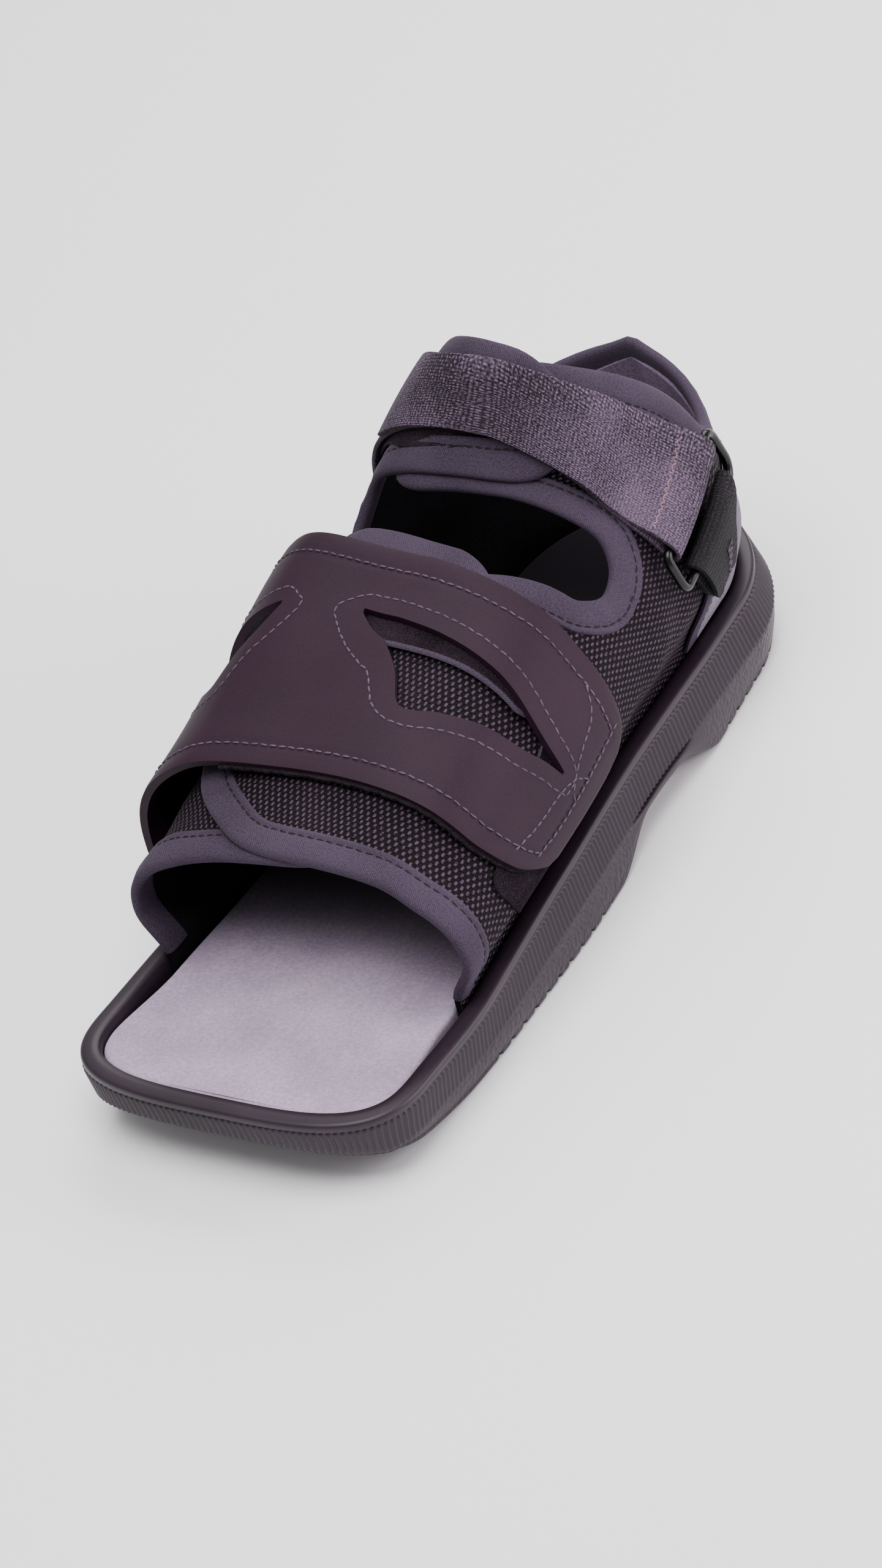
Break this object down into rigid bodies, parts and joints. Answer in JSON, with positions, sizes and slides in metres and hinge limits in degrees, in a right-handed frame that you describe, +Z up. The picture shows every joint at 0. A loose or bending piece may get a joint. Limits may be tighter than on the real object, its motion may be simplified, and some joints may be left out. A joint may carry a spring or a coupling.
{
  "type": "post operative shoe",
  "caption": "Open toe post operative shoe: rocker cup sole, crossed fabric flaps, wide forefoot strap and an ankle strap through a ring.",
  "frame": {"origin": "on the floor under the middle of the whole shoe", "axes": "+Y from toe to heel, +Z up, +X towards the side that carries the ring"},
  "size_m": [0.1276, 0.2952, 0.1349],
  "materials": {
    "sole_rubber": "moulded, satin, ribbed side",
    "insole_fabric": "soft brushed cloth on foam",
    "upper_mesh": "open knitted mesh on foam",
    "loop_pile": "matted loop pile",
    "strap_face": "smooth coated cloth, semi matt",
    "binding_tape": "fine woven binding",
    "heel_suede": "brushed microfibre",
    "counter_cloth": "close woven cloth",
    "tab_webbing": "ribbed webbing",
    "ring_plastic": "moulded, glossy",
    "strap_webbing": "coarse woven webbing"
  },
  "bodies": {
    "root": {"outsole": "sole_rubber", "insole": "insole_fabric", "upper": "upper_mesh", "loop_panel": "loop_pile", "forefoot_strap": "strap_face", "side_binding_near": "binding_tape", "side_binding_far": "binding_tape", "heel_panel_near": "heel_suede", "heel_panel_far": "heel_suede", "heel_counter": "counter_cloth", "ring_tab": "tab_webbing", "strap_ring": "ring_plastic", "ankle_strap": "strap_webbing"}
  },
  "joints": []
}
